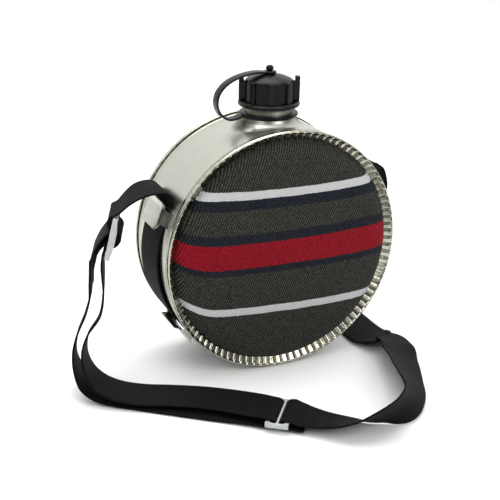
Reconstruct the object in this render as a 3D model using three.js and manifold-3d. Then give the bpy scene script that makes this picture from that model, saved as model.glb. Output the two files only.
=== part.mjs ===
import * as THREE from 'three';
import { mergeVertices } from 'three/addons/utils/BufferGeometryUtils.js';
import Module from 'manifold-3d';

const wasm = await Module();
wasm.setup();

// Drum, millimetres. The drum's axis is Y, its front face looks towards -Y.
const RIM_R = 92.5;
const SEGS = 48;
const DRUM_Z = RIM_R * Math.cos(Math.PI / SEGS);
const BAND_R = 90.6;
const BAND_THICK = 0.8;
const BAND_HALF = 29.3;
const RIM_HALF = 31.5;
const FLUTES = 96;

// Neck and cap, about the vertical axis x = y = 0.
const BORE_R = 13.2;
const CORE_R = 14.6;
const CREST_R = 15.7;
const COLLAR_R = 16.7;
const NECK_TOP = 209;
const COLLAR_TOP = 194.8;
const PITCH = 4;
const THREAD_START = 197.2;
const NECK_SEGS = 48;
const CAP_BOTTOM = 195.4;
const CAP_WALL_TOP = 213.2;
const CAP_DOME_TOP = 218;
const CAP_R = 17.7;
const CAP_BORE_R = 16.1;
const CAP_CREST_R = 15.1;
const CAP_FLANGE_R = 22.7;
const CAP_RIB_FIRST = 249.2;

// Webbing and its brackets.
const WEB = 33;
const BODY_WEB = 36;
const WEB_THICK = 1.3;
const WEB_R = 91.55;
const LONG_SLIDER = {
  at: [-119.8, 0, 113.8], across: [-0.36, -0.93, 0], along: [-0.23, 0.04, -0.97],
  length: 31, bar: 3.8, centreBar: 4, thick: 3.8, railDeep: 2.9,
};
const SHORT_SLIDER = {
  at: [-35.5, -107.4, 5.1], across: [-0.6, -0.79, 0.05], along: [0.8, -0.6, 0.03],
  length: 16, bar: 3, centreBar: 1.6, thick: 3.6, railDeep: 1.8,
};
const BRACKET_ANGLES = { left_upper: 159.7, left_lower: 221, right_lower: 319, right_upper: 20.3 };

const METAL = { color: 0xbfc0ae, roughness: 0.42, metalness: 0.85 };
const SHINY = { color: 0xc9c9bf, roughness: 0.2, metalness: 1 };
const CLOTH = { color: 0x35352c, roughness: 0.95, metalness: 0 };
const FELT = { color: 0x8a857a, roughness: 1, metalness: 0 };
const BLACK = { color: 0x17191a, roughness: 0.5, metalness: 0 };
const STRAP = { color: 0x131516, roughness: 0.9, metalness: 0 };
const RUBBER = { color: 0xb9b4a8, roughness: 0.8, metalness: 0 };
const WHITE = { color: 0xd9dde0, roughness: 0.4, metalness: 0 };

const rad = (degrees) => (degrees * Math.PI) / 180;
const v3 = (a) => new THREE.Vector3(a[0], a[1], a[2]);

// The drum group's Y is the drum's axis, the neck group's Y is the neck's axis.
const root = new THREE.Group();
root.name = 'canteen';
const drum = new THREE.Group();
drum.position.z = DRUM_Z;
const neck = new THREE.Group();
neck.rotation.x = Math.PI / 2;
root.add(drum, neck);

function add(parent, name, geometry, look) {
  const shape = geometry.toNonIndexed();
  shape.computeVertexNormals();
  const mesh = new THREE.Mesh(shape, new THREE.MeshStandardMaterial(look));
  mesh.name = name;
  parent.add(mesh);
  return mesh;
}

// A closed body from points and triangles, turned outward if it came out inside out.
function body(points, faces) {
  let volume = 0;
  for (const [a, b, c] of faces) {
    volume += v3(points[a]).dot(v3(points[b]).cross(v3(points[c])));
  }
  const index = volume < 0 ? faces.map(([a, b, c]) => [a, c, b]) : faces;
  const geometry = new THREE.BufferGeometry();
  geometry.setAttribute('position', new THREE.Float32BufferAttribute(points.flat(), 3));
  geometry.setIndex(index.flat());
  return geometry;
}

function triples(array, stride = 3) {
  const rows = [];
  for (let i = 0; i < array.length; i += stride) rows.push([...array.slice(i, i + 3)]);
  return rows;
}

// A stock geometry as one closed body: positions only, shared vertices merged.
function welded(geometry) {
  geometry.deleteAttribute('normal');
  geometry.deleteAttribute('uv');
  const merged = mergeVertices(geometry);
  const faces = triples(merged.index.array).filter(([a, b, c]) => a !== b && b !== c && c !== a);
  return body(triples(merged.attributes.position.array), faces);
}

// Turns a profile of [radius, height] round Y. A profile that begins and ends on the
// axis makes a solid, any other one is joined end to start into a ring.
function turned(profile, segments) {
  const outline = profile[0][0] === 0 ? profile : [...profile, profile[0]];
  const points = outline.map(([r, h]) => new THREE.Vector2(r, h));
  return welded(new THREE.LatheGeometry(points, segments, Math.PI / segments));
}
const turnedUpright = (profile, segments) => turned(profile, segments).rotateX(Math.PI / 2);

// Carries a convex section of [across, out] along stations of {c, w, n}, both ends capped.
function sweep(stations, section) {
  const points = [];
  const size = section.length;
  stations.forEach(({ c, w, n, scale = 1 }) => {
    for (const [a, b] of section) {
      points.push([
        c.x + w.x * a + n.x * b * scale,
        c.y + w.y * a + n.y * b * scale,
        c.z + w.z * a + n.z * b * scale,
      ]);
    }
  });
  const faces = [];
  for (let i = 0; i + 1 < stations.length; i += 1) {
    for (let k = 0; k < size; k += 1) {
      const a = i * size + k;
      const b = i * size + ((k + 1) % size);
      faces.push([a, b, b + size], [a, b + size, a + size]);
    }
  }
  const end = (stations.length - 1) * size;
  for (let k = 1; k + 1 < size; k += 1) {
    faces.push([0, k + 1, k], [end, end + k, end + k + 1]);
  }
  return body(points, faces);
}

function solid(geometry) {
  const mesh = new wasm.Mesh({
    numProp: 3,
    vertProperties: new Float32Array(geometry.attributes.position.array),
    triVerts: new Uint32Array(geometry.index.array),
  });
  mesh.merge();
  return new wasm.Manifold(mesh);
}

function shell(manifold) {
  const mesh = manifold.getMesh();
  return body(triples(mesh.vertProperties, mesh.numProp), triples(mesh.triVerts));
}

// Solid block between two corners, turned about Z.
const box = (x0, x1, y0, y1, z0, z1, turn = 0) =>
  solid(welded(new THREE.BoxGeometry(x1 - x0, y1 - y0, z1 - z0)
    .translate((x0 + x1) / 2, (y0 + y1) / 2, (z0 + z1) / 2)).rotateZ(turn));
// Solid round bar about Z.
const upright = (radius, z0, z1) =>
  solid(welded(new THREE.CylinderGeometry(radius, radius, z1 - z0, NECK_SEGS))
    .rotateX(Math.PI / 2).translate(0, 0, (z0 + z1) / 2));

// Helical ridge about the neck axis: base on radius r0, crest on radius r1.
function ridge(r0, r1, start, turns, phase) {
  const steps = Math.round(turns * NECK_SEGS);
  const out = Math.sign(r1 - r0);
  const stations = [];
  for (let i = 0; i <= steps; i += 1) {
    const a = rad(phase) + (i / NECK_SEGS) * 2 * Math.PI;
    const fade = Math.min(1, (i + 0.6) / 5, (steps - i + 0.6) / 5);
    const dir = new THREE.Vector3(Math.cos(a), Math.sin(a), 0);
    const c = dir.clone().multiplyScalar(r0).setZ(start + (i / NECK_SEGS) * PITCH);
    stations.push({ c, w: new THREE.Vector3(0, 0, 1), n: dir.multiplyScalar(out), scale: fade });
  }
  const deep = Math.abs(r1 - r0);
  return sweep(stations, [[-0.9, -0.25], [-0.4, deep], [0.4, deep], [0.9, -0.25]]);
}

// Smooth route through hand-set stations [x, y, z, wx, wy, wz]; w points across the webbing.
function route(points, per) {
  const centre = new THREE.CatmullRomCurve3(points.map((p) => v3(p)), false, 'centripetal');
  const count = (points.length - 1) * per;
  const raw = [];
  for (let i = 0; i <= count; i += 1) {
    const s = i / count;
    const f = s * (points.length - 1);
    const k = Math.min(Math.floor(f), points.length - 2);
    const u = f - k;
    const w = v3(points[k].slice(3)).lerp(v3(points[k + 1].slice(3)), u * u * (3 - 2 * u));
    raw.push({ c: centre.getPoint(s), t: centre.getTangent(s), w });
  }
  return raw.map(({ c, t, w }) => {
    w.addScaledVector(t, -w.dot(t)).normalize();
    return { c, w, n: w.clone().cross(t).normalize() };
  });
}

const webSection = (width = WEB) => {
  const a = width / 2;
  const b = WEB_THICK / 2;
  return [[-a, -b], [a, -b], [a, b], [-a, b]];
};

function drumBand() {
  const ring = turned([[BAND_R - BAND_THICK, -BAND_HALF], [BAND_R - BAND_THICK, BAND_HALF],
    [BAND_R, BAND_HALF], [BAND_R, -BAND_HALF]], SEGS);
  return shell(solid(ring).subtract(upright(COLLAR_R + 0.4, 60, 130)));
}

// One end plate: crowned steel disc whose edge folds over the band to form the rim.
const head = (side) => turned([
  [0, 33], [52, 31.6], [87, 27.9], [88.8, 28.6], [88.8, RIM_HALF], [91.9, RIM_HALF],
  [RIM_R, 30.9], [RIM_R, 28.4], [90.9, 28.4], [90.9, 29.7], [89.5, 29.7], [89.5, 27.2],
  [52, 30.8], [0, 32.2],
].map(([r, h]) => [r, h * side]), SEGS);

const felt = (side) => turned([
  [0, 33.4], [52, 32], [82.5, 28.9], [83.3, 32], [82.1, 34.8], [77.9, 37.6], [52, 41.1], [0, 42.1],
].map(([r, h]) => [r, h * side]), SEGS);

const blanket = (side) => turned([
  [0, 42.5], [52.1, 41.6], [78.3, 38.1], [82.8, 35.2], [83.9, 31.3], [88.2, 31.8],
  [88.2, 32.7], [84.9, 32.7], [84.1, 35.5], [79.2, 39.2], [52.4, 42.8], [0, 43.7],
].map(([r, h]) => [r, h * side]), SEGS);

// Crimped clamp ring: radial flutes that run out at its outer edge.
function clampRing(side) {
  const profile = [[91.4, 31.85, 0], [92.1, 31.85, 0], [92.1, 35.6, 0], [91.5, 36.1, 0.1], [85.1, 34, 0.6],
    [85.3, 33.4, 0.6], [90.2, 34.7, 0.4]];
  const steps = FLUTES * 2;
  const points = [];
  const faces = [];
  const size = profile.length;
  for (let k = 0; k < steps; k += 1) {
    const a = ((k + 0.5) / steps) * 2 * Math.PI;
    for (const [r, h, wave] of profile) {
      points.push([r * Math.cos(a), side * (h + (k % 2 ? -wave : wave) * 0.8), r * Math.sin(a)]);
    }
  }
  for (let k = 0; k < steps; k += 1) {
    for (let i = 0; i < size; i += 1) {
      const a = k * size + i;
      const b = k * size + ((i + 1) % size);
      const c = ((k + 1) % steps) * size + ((i + 1) % size);
      const d = ((k + 1) % steps) * size + i;
      faces.push([a, b, c], [a, c, d]);
    }
  }
  return body(points, faces);
}

// Neck: tube through the band, screw thread, collar and a flare that sits on the band.
function spout() {
  const flare = turnedUpright([[COLLAR_R - 1, 170], [30, 170], [29, 180.5], [25.5, 182.8], [22, 184.6],
    [20, 186.2], [20, 188], [COLLAR_R - 1, 188]], NECK_SEGS);
  const seat = new THREE.CylinderGeometry(BAND_R + 0.55, BAND_R + 0.55, 120, SEGS).translate(0, 0, DRUM_Z);
  const tube = turnedUpright([[10, 176], [COLLAR_R, 176], [COLLAR_R, COLLAR_TOP], [CORE_R, COLLAR_TOP],
    [CORE_R, NECK_TOP - 0.6], [CORE_R - 0.5, NECK_TOP], [10, NECK_TOP]], NECK_SEGS);
  return shell(solid(flare).subtract(solid(welded(seat))).add(solid(tube))
    .add(solid(ridge(CORE_R, CREST_R, THREAD_START, 2.1, 20)))
    .subtract(upright(BORE_R, 160, 220)));
}

// Screw cap: internal thread, six grip ribs, two tall lugs, foot flange, dome and stud.
function cap() {
  const outer = turnedUpright([[0, CAP_BOTTOM], [21.8, CAP_BOTTOM], [CAP_FLANGE_R, 196.4],
    [CAP_FLANGE_R, 197.6], [20.6, 199.2], [CAP_R, 199.4], [CAP_R, CAP_WALL_TOP], [16.4, 214.4], [11, 216.7], [5, 217.8],
    [0, CAP_DOME_TOP]], NECK_SEGS);
  let shape = solid(outer);
  for (let k = 0; k < 8; k += 1) {
    const lug = k % 4 === 2;
    const reach = lug ? 22.1 : 19.5;
    const half = lug ? 2.8 : 2.4;
    const top = lug ? 216.6 : CAP_WALL_TOP + 0.6;
    const turn = rad(CAP_RIB_FIRST + 45 * k);
    const rib = box(15.4, reach, -half, half, 198, top - 0.7, turn)
      .add(box(lug ? 18.4 : 15.4, reach - 0.6, -half + 0.5, half - 0.5, 198, top, turn));
    shape = shape.add(lug ? rib.subtract(box(10, 18.4, -9, 9, CAP_WALL_TOP + 0.3, 230, turn)) : rib);
  }
  const stud = turnedUpright([[0, CAP_DOME_TOP - 1.5], [1.7, CAP_DOME_TOP - 1.5], [1.7, 220.6], [2.6, 221],
    [2.9, 221.9], [2.5, 223.2], [1.4, 224], [0, 224.2]], 16);
  return shell(shape.add(solid(stud))
    .subtract(upright(CAP_BORE_R, 190, 211.1))
    .add(solid(ridge(CAP_BORE_R, CAP_CREST_R, THREAD_START + PITCH / 2 - 0.4, 1.6, 20 - 36)))
    .subtract(upright(CAP_BORE_R + 1, 190, CAP_BOTTOM)));
}

const gasket = () => turned([[12.9, 209.3], [15.7, 209.3], [15.7, 210.8], [12.9, 210.8]], 32);

const tetherRing = () => turned([[17.1, 188.6], [17.1, 190.6], [21.2, 190.6], [21.6, 190.1],
  [21.6, 189], [21.2, 188.6]], 40);

const eyelet = () => turned([[2.1, 218.5], [4.6, 218.5], [5, 218.9], [5, 219.8], [4.6, 220.2],
  [2.1, 220.2]], 24);

function tetherStrap() {
  const points = [[-22.1, 0, 189.5], [-27, 0, 187.6], [-33, 0, 187.6], [-38.6, 0, 191.4], [-41.6, 0, 198],
    [-40.6, 0, 205.4], [-35.4, 0, 212], [-27, 0, 216.6], [-16.5, 0, 219.2], [-10, 0, 219.7],
    [-5.35, 0, 219.4]].map((p) => [...p, 0, -1, 0]);
  const half = 4;
  return sweep(route(points, 3), [[-half, -0.7], [half, -0.7], [half, 0.7], [-half, 0.7]]);
}

// Bridge of bent sheet over the webbing: flared lips at both openings, feet on the band.
// Made on the drum's +X side, in the drum group.
function bracket() {
  const stations = [[-8.6, 1.5], [-6.4, 0], [6.4, 0], [8.6, 1.5]];
  const plate = stations.map(([along, lift]) => {
    const a = along / 95.2;
    const dir = new THREE.Vector3(Math.cos(a), 0, Math.sin(a));
    return { c: dir.clone().multiplyScalar(95.2 + lift), w: new THREE.Vector3(0, 1, 0), n: dir };
  });
  let shape = solid(sweep(plate, [[-14.6, -0.45], [14.6, -0.45], [14.6, 0.45], [-14.6, 0.45]]));
  for (const side of [-1, 1]) {
    const leg = [-5.6, -2.8, 0, 2.8, 5.6].map((along) => {
      const n = new THREE.Vector3(Math.cos(along / 95.2), 0, Math.sin(along / 95.2));
      return { c: new THREE.Vector3(), w: new THREE.Vector3(0, side, 0), n };
    });
    const slope = [[14.1, 94.75], [14.6, 95.65], [21.4, 92], [21.1, 91.2]];
    const foot = [[21, 91.9], [21, 91.15], [24.6, 91.05], [24.6, 91.9]];
    shape = shape.add(solid(sweep(leg, slope))).add(solid(sweep(leg, foot)));
  }
  return shell(shape);
}

// How far slack webbing stands off the band in the 45 degrees after an angle, 0 to 1.
const slack = (angle, from) => (angle > from && angle < from + 45 ? Math.sin(rad((angle - from) * 4)) : 0);

// Webbing round the underside of the band, through all four brackets, from top to top.
function bodyWebbing() {
  const stations = [];
  const first = 156.2;
  const end = 383.8;
  const step = 3.75;
  const count = Math.round((end - first) / step);
  for (let i = 0; i <= count; i += 1) {
    const angle = first + (i * (end - first)) / count;
    const r = WEB_R + 0.15 + 1.6 * (slack(angle, 168) + slack(angle, 327));
    const a = rad(angle);
    const n = new THREE.Vector3(Math.cos(a), 0, Math.sin(a));
    stations.push({ c: n.clone().multiplyScalar(r), w: new THREE.Vector3(0, 1, 0), n });
  }
  return sweep(stations, webSection(BODY_WEB));
}

// Stations beside a slider: distance along the webbing and out from the slider's middle plane.
const axes = ({ across, along }) => {
  const w = v3(across).normalize();
  const d = v3(along).addScaledVector(w, -v3(along).dot(w)).normalize();
  return { w, d, n: w.clone().cross(d) };
};
const beside = (frame, pairs) => {
  const { w, d, n } = axes(frame);
  return pairs.map(([along, out]) => {
    const p = v3(frame.at).addScaledVector(d, along).addScaledVector(n, out);
    return [p.x, p.y, p.z, w.x, w.y, w.z];
  });
};

const STRAP_UPPER = [
  [-83.3, -2.6, 131.9, 0, -1, 0], [-82.1, -2.7, 136, 0, -1, 0], [-82.3, -2.9, 140.2, 0, -1, 0],
  [-86, -3, 143.2, -0.02, -1, 0], [-93.4, -2.8, 143.8, -0.04, -1, 0],
  [-101.4, -2.4, 142, -0.1, -0.99, 0.02], [-108.8, -1.6, 137.4, -0.2, -0.98, 0.04],
  [-115.4, -0.8, 131.6, -0.3, -0.95, 0.02],
  ...beside(LONG_SLIDER, [[-13.7, -4.6], [-9, -4.4], [-6.8, -2.8], [-5.7, 0.2], [-4.5, 3.6], [-2.5, 5.4],
    [0, 6], [4.4, 4.4], [7.4, 0.8], [10.8, -2.8], [13.7, -3.4]]),
  [-128, 0.6, 92.5, -0.34, -0.93, 0.08], [-128.6, -1, 81, -0.31, -0.93, 0.17],
  [-130, -4.6, 69, -0.26, -0.91, 0.32], [-135, -11, 55, -0.25, -0.9, 0.36],
  [-145.4, -14.6, 43, -0.26, -0.88, 0.38], [-149.2, -18, 32, -0.34, -0.86, 0.36],
  [-147.6, -23.4, 20.5, -0.42, -0.87, 0.25], [-142, -29, 11.8, -0.46, -0.88, 0.13],
  [-133, -35.4, 6.8, -0.46, -0.88, 0.08], [-118, -45, 4.8, -0.46, -0.88, 0.06],
  [-98, -55, 4.8, -0.5, -0.86, 0.06], [-79, -66.5, 5.4, -0.54, -0.83, 0.06],
  [-62, -80.5, 6.2, -0.58, -0.81, 0.05],
  ...beside(SHORT_SLIDER, [[-13, 3.8], [-7.6, 3.3], [-4.6, 2.9], [-2.6, 1.9], [-1.8, 0.3]]),
];
const STRAP_RETURN = [
  ...beside(SHORT_SLIDER, [[-1.8, -0.5], [-2.4, -1.9], [-4.8, -2.8], [-9, -3.1]]),
  [-54, -92.8, 2.1, -0.58, -0.81, 0.02], [-70, -80.4, 1.4, -0.58, -0.81, 0],
  [-89, -66, 1.4, -0.57, -0.82, 0], [-109, -50.5, 1.4, -0.56, -0.83, 0],
  [-128.6, -36, 1.8, -0.54, -0.84, 0], [-142, -26.6, 3.8, -0.5, -0.86, 0.05],
  [-150.4, -20, 9.6, -0.44, -0.88, 0.14], [-154, -15.6, 19, -0.38, -0.89, 0.23],
  [-154.8, -11.4, 30, -0.3, -0.9, 0.31], [-151, -7.6, 42, -0.26, -0.9, 0.34],
  [-144, -5, 55, -0.25, -0.9, 0.33], [-139.4, -3.4, 68, -0.28, -0.91, 0.28],
  [-138, -2, 79, -0.33, -0.92, 0.15],
  ...beside(LONG_SLIDER, [[27.5, -9.9], [20, -10.8], [13.6, -10], [7, -8.2], [2, -6.2], [-1.4, -4.3],
    [-2.8, -2.3], [-3.1, 0], [-2.95, 2.1], [-1.6, 3.3], [0, 3.7], [1.6, 3.3], [3, 1.9], [3.7, -0.6],
    [5.2, -3.4], [8.6, -5.9], [13.6, -7.7], [19, -8.6], [24.5, -7.9]]),
];
const STRAP_RIGHT = [
  ...beside(SHORT_SLIDER, [[1.8, 0.3], [2.6, 1.9], [4.6, 2.8], [7.6, 2.9], [12, 1.2]]),
  [-18.7, -120.5, 5, -0.57, -0.82, 0.12], [-10.5, -128.4, 4.9, -0.54, -0.8, 0.22],
  [-2.4, -137.4, 6.9, -0.5, -0.78, 0.34], [6, -144, 9.6, -0.46, -0.72, 0.5],
  [17, -148, 13, -0.43, -0.6, 0.67], [30, -149, 16, -0.5, -0.42, 0.75],
  [42.4, -143.6, 17.2, -0.61, -0.28, 0.74], [57, -126, 16, -0.74, -0.24, 0.63],
  [71.4, -98.6, 12.6, -0.78, -0.36, 0.5], [82.8, -73, 10.2, -0.79, -0.48, 0.34],
  [91.6, -53, 8.8, -0.75, -0.6, 0.24], [92, -43, 8.2, -0.69, -0.67, 0.26],
  [87.4, -36, 6.8, -0.75, -0.64, 0.15], [84.4, -26, 3.8, -0.88, -0.45, 0.02],
  [84.6, -10, 2.2, -0.95, -0.3, 0], [85.5, 8, 1.8, -0.99, -0.1, 0], [86, 30, 1.8, -1, 0, 0],
  [86, 50, 3.4, -1, -0.05, 0], [87, 64, 11, -0.98, -0.2, 0], [89.5, 69, 25, -0.9, -0.42, 0],
  [93, 66, 42, -0.75, -0.66, 0], [97, 58, 60, -0.55, -0.83, 0], [101, 44, 79, -0.35, -0.94, 0],
  [102.5, 27, 98, -0.16, -0.99, 0], [101.5, 13, 116, -0.05, -1, 0], [98, 5, 131, 0, -1, 0],
  [91.5, 2, 142, 0, -1, 0], [84.6, 1, 144.5, 0, -1, 0], [81.6, 0, 138.4, 0, -1, 0],
  [83.3, 0, 131.9, 0, -1, 0],
];
// Sewn end of the right strap, folded back under its slider bar.
const STRAP_TAIL = [
  ...beside(SHORT_SLIDER, [[1.8, -0.5], [2.4, -1.9], [4.8, -2.9], [9, -3.3], [14, -3.6], [18, -3.9]]),
];

const strap = (points) => sweep(route(points, 2), webSection());

// Flat frame with two slots; x across the webbing, y along it, z through its thickness.
// Its side rails are deeper on one face, between the two ends.
function slider(frame) {
  const { length, bar, centreBar, thick, railDeep } = frame;
  const half = WEB / 2 + 0.6;
  const rail = 2.3;
  const end = length / 2;
  const deep = thick / 2;
  const slot = (y0, y1) => box(-half, half, y0, y1, -10, 10);
  const side = (x0, x1) => solid(sweep([x0, x1].map((x) => ({
    c: v3([x, 0, 0]), w: v3([0, 1, 0]), n: v3([0, 0, 1]),
  })), [[-end, -deep], [end, -deep], [end, deep * 0.6], [end * 0.35, railDeep], [-end * 0.35, railDeep],
    [-end, deep * 0.7]]));
  const cut = box(-half - 1, half + 1, -end + 0.3, end - 0.3, -deep + 0.1, deep - 0.1)
    .subtract(slot(-end + bar, -centreBar / 2)).subtract(slot(centreBar / 2, end - bar))
    .add(side(-half - rail, -half)).add(side(half, half + rail));
  return shell(cut);
}

add(drum, 'body_band', drumBand(), METAL);
for (const [side, label] of [[-1, 'front'], [1, 'back']]) {
  add(drum, `${label}_head`, head(side), METAL);
  add(drum, `${label}_felt_pad`, felt(side), FELT);
  add(drum, `${label}_blanket_cover`, blanket(side), CLOTH);
  add(drum, `${label}_clamp_ring`, clampRing(side), SHINY);
}
for (const [label, angle] of Object.entries(BRACKET_ANGLES)) {
  add(drum, `bracket_${label}`, bracket(), METAL).rotation.y = -rad(angle);
}
add(drum, 'body_webbing', bodyWebbing(), STRAP);
add(root, 'spout', spout(), METAL);
add(root, 'screw_cap', cap(), BLACK);
add(neck, 'cap_gasket', gasket(), RUBBER);
add(neck, 'tether_ring', tetherRing(), BLACK);
add(neck, 'tether_eyelet', eyelet(), BLACK);
add(root, 'tether_strap', tetherStrap(), BLACK);
add(root, 'strap_upper', strap(STRAP_UPPER), STRAP);
add(root, 'strap_return', strap(STRAP_RETURN), STRAP);
add(root, 'strap_right', strap(STRAP_RIGHT), STRAP);
add(root, 'strap_right_tail', strap(STRAP_TAIL), STRAP);
for (const [name, frame] of [['slider_long', LONG_SLIDER], ['slider_short', SHORT_SLIDER]]) {
  const { w, d, n } = axes(frame);
  const mesh = add(root, name, slider(frame), WHITE);
  mesh.position.set(...frame.at);
  mesh.quaternion.setFromRotationMatrix(new THREE.Matrix4().makeBasis(w, d, n));
}

export default root;
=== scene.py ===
"""Looks of a blanket-faced steel canteen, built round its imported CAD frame.

Everything is in metres in the CAD frame. Profiles of turned parts are written in
millimetres and scaled once, in lathe(). The drum's axis is Y, the neck's is Z.
"""
import math

import bmesh
import bpy
from mathutils import Matrix, Vector, noise


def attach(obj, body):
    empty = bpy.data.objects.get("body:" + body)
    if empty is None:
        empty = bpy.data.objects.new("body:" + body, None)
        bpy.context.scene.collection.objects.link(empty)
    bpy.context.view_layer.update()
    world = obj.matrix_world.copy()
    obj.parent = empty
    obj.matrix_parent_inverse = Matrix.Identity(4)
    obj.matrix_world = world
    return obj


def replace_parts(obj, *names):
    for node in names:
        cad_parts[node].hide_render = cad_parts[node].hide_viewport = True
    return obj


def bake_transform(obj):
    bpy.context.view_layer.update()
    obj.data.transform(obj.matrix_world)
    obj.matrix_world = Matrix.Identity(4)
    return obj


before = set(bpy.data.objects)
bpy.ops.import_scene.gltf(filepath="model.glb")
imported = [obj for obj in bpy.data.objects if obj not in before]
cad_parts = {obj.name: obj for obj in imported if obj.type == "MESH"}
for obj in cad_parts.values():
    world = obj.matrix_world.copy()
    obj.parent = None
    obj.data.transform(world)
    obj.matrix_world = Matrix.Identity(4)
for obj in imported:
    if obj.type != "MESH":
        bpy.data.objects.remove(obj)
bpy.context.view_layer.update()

MM = 0.001
TAU = 2 * math.pi
DRUM_Z = 92.302  # height of the drum's axis, mm
FLUTES = 96
WEB = 0.033  # shoulder webbing
BODY_WEB = 0.036  # webbing round the drum
WEB_THICK = 0.0013
SLIDER_FRAMES = {
    "long": {"at": (-0.1198, 0, 0.1138), "across": (-0.36, -0.93, 0), "along": (-0.23, 0.04, -0.97)},
    "short": {"at": (-0.0355, -0.1074, 0.0051), "across": (-0.6, -0.79, 0.05), "along": (0.8, -0.6, 0.03)},
}

# ---------------------------------------------------------------- camera


def make_camera():
    data = bpy.data.cameras.new("camera")
    data.lens = 70
    data.sensor_width = 36
    data.clip_start, data.clip_end = 0.05, 40
    camera = bpy.data.objects.new("camera", data)
    bpy.context.scene.collection.objects.link(camera)
    right = Vector((0.91004, -0.41396, 0.02026)).normalized()
    back = Vector((-0.39129, -0.84214, 0.37088)).normalized()
    up = back.cross(right).normalized()
    right = up.cross(back)
    turn = Matrix((right, up, back)).transposed().to_4x4()
    camera.matrix_world = Matrix.Translation((-0.30324, -0.62576, 0.35894)) @ turn
    bpy.context.scene.camera = camera


# ---------------------------------------------------------------- materials


class Look:
    """One procedural material: small helpers round its node tree."""

    def __init__(self, name, **values):
        self.material = bpy.data.materials.new(name)
        self.material.use_nodes = True
        self.tree = self.material.node_tree
        self.shader = self.tree.nodes["Principled BSDF"]
        for key, value in values.items():
            self.shader.inputs[key.replace("_", " ")].default_value = value

    def node(self, kind, *inputs, **settings):
        made = self.tree.nodes.new(kind)
        for key, value in settings.items():
            setattr(made, key, value)
        for place, value in zip(made.inputs, inputs):
            self.put(place, value)
        return made

    def put(self, place, value):
        if value is None:
            return
        if isinstance(value, bpy.types.NodeSocket):
            self.tree.links.new(value, place)
        else:
            place.default_value = value

    def math(self, operation, a, b=None, c=None, clamp=False):
        made = self.node("ShaderNodeMath", a, b, c, operation=operation, use_clamp=clamp)
        return made.outputs[0]

    def wave(self, value):
        """0 to 1 and back for each whole step of value."""
        turn = self.math("MULTIPLY", value, TAU)
        return self.math("MULTIPLY_ADD", self.math("SINE", turn), 0.5, 0.5)

    def span(self, value, low, high, start=0.0, end=1.0):
        made = self.node("ShaderNodeMapRange", value, low, high, start, end, interpolation_type="SMOOTHSTEP")
        return made.outputs[0]

    def stripe(self, value, low, high, soft):
        rise = self.span(value, low - soft, low + soft)
        fall = self.span(value, high - soft, high + soft, 1.0, 0.0)
        return self.math("MULTIPLY", rise, fall)

    def mix(self, share, a, b):
        made = self.tree.nodes.new("ShaderNodeMix")
        made.data_type = "RGBA"
        for key, value in (("Factor", share), ("A", a), ("B", b)):
            kind = "VALUE" if key == "Factor" else "RGBA"
            place = next(s for s in made.inputs if s.name == key and s.type == kind)
            self.put(place, (*value, 1) if isinstance(value, tuple) else value)
        return next(s for s in made.outputs if s.type == "RGBA")

    def place_mm(self, stretch=(1, 1, 1)):
        """Object position in mm, stretched."""
        at = self.node("ShaderNodeTexCoord").outputs["Object"]
        scale = tuple(1000 * s for s in stretch)
        return self.node("ShaderNodeVectorMath", at, scale, operation="MULTIPLY").outputs[0]

    def split(self, vector):
        return self.node("ShaderNodeSeparateXYZ", vector).outputs

    def web_mm(self):
        """Millimetres along and across a strap, from its UV map."""
        at = self.node("ShaderNodeUVMap", uv_map="strap").outputs[0]
        scaled = self.node("ShaderNodeVectorMath", at, (1000, 1000, 1), operation="MULTIPLY")
        return self.split(scaled.outputs[0])

    def noise(self, vector, scale, detail=2.0, rough=0.5):
        made = self.node("ShaderNodeTexNoise", vector)
        made.inputs["Scale"].default_value = scale
        made.inputs["Detail"].default_value = detail
        made.inputs["Roughness"].default_value = rough
        return made.outputs["Fac"]

    def bump(self, height, distance, strength=1.0, normal=None):
        made = self.node("ShaderNodeBump")
        made.inputs["Strength"].default_value = strength
        made.inputs["Distance"].default_value = distance
        self.put(made.inputs["Height"], height)
        self.put(made.inputs["Normal"], normal)
        return made.outputs[0]

    def finish(self, colour=None, roughness=None, normal=None):
        self.put(self.shader.inputs["Base Color"], colour)
        self.put(self.shader.inputs["Roughness"], roughness)
        self.put(self.shader.inputs["Normal"], normal)
        return self.material


def steel_satin():
    """Drawn stainless sheet: faint lines round the drum, broad soft waves, light smudges."""
    look = Look("steel_satin", Metallic=1.0)
    lines = look.noise(look.place_mm((0.02, 2.4, 0.02)), 1.0, 3)
    broad = look.noise(look.place_mm(), 0.035, 1)
    smudge = look.noise(look.place_mm(), 0.09, 4, 0.6)
    tone = look.math("MULTIPLY_ADD", lines, 0.35, look.math("MULTIPLY", smudge, 0.65))
    colour = look.mix(tone, (0.44, 0.445, 0.38), (0.56, 0.565, 0.50))
    rough = look.span(tone, 0.2, 0.8, 0.36, 0.27)
    # Painted shade: the neck and its collar are darkened in colour to stand for the dark reflections and
    # shade they show, and made duller (rougher).
    x, y, z = look.split(look.place_mm())
    wide = look.math("MULTIPLY", look.math("MULTIPLY", y, 1.7), look.math("MULTIPLY", y, 1.7))
    reach = look.math("SQRT", look.math("ADD", look.math("MULTIPLY", x, x), wide))
    neck = look.math("MULTIPLY", look.span(z, 171, 176), look.span(reach, 24, 31, 1.0, 0.0))
    colour = look.mix(neck, colour, (0.20, 0.20, 0.155))
    rough = look.math("MULTIPLY_ADD", neck, 0.25, rough)
    waves = look.bump(broad, 0.0012, 0.5)
    normal = look.bump(lines, 0.00002, 0.6, waves)
    return look.finish(colour, rough, normal)


def steel_bright():
    """Polished crimped strip, a little tarnish in it."""
    look = Look("steel_bright", Metallic=1.0)
    tarnish = look.noise(look.place_mm(), 0.25, 4, 0.6)
    fine = look.noise(look.place_mm(), 1.6, 2)
    colour = look.mix(look.span(tarnish, 0.35, 0.7), (0.46, 0.455, 0.385), (0.29, 0.28, 0.21))
    return look.finish(colour, look.span(fine, 0.3, 0.7, 0.12, 0.24), look.bump(fine, 0.00008, 0.4))


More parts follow.
